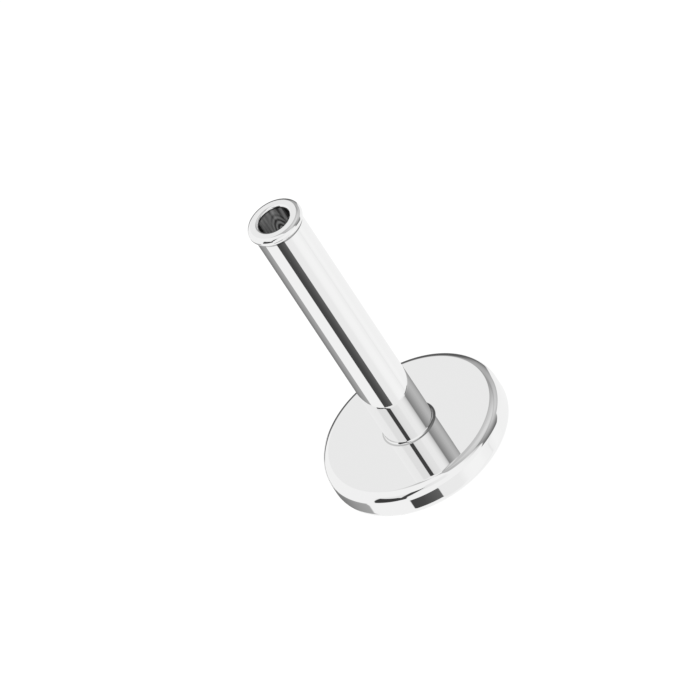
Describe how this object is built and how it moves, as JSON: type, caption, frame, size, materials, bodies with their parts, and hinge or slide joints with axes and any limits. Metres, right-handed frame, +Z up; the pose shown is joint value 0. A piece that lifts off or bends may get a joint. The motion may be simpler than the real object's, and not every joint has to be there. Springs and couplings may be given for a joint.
{
  "type": "labret stud",
  "caption": "Flat-backed body jewellery stud: a thin round base disc with a straight hollow post, ending in a small rounded collar round a push-fit socket.",
  "frame": {"origin": "middle of the base disc's underside, where the stud rests on a surface", "axes": "+Z up the post from the disc to the open end; the stud is round about +Z"},
  "size_m": [0.0037, 0.0036, 0.0065],
  "materials": {
    "polished_steel": "mirror polished surgical steel"
  },
  "bodies": {
    "root": {"labret_stud": "polished_steel"}
  },
  "joints": []
}
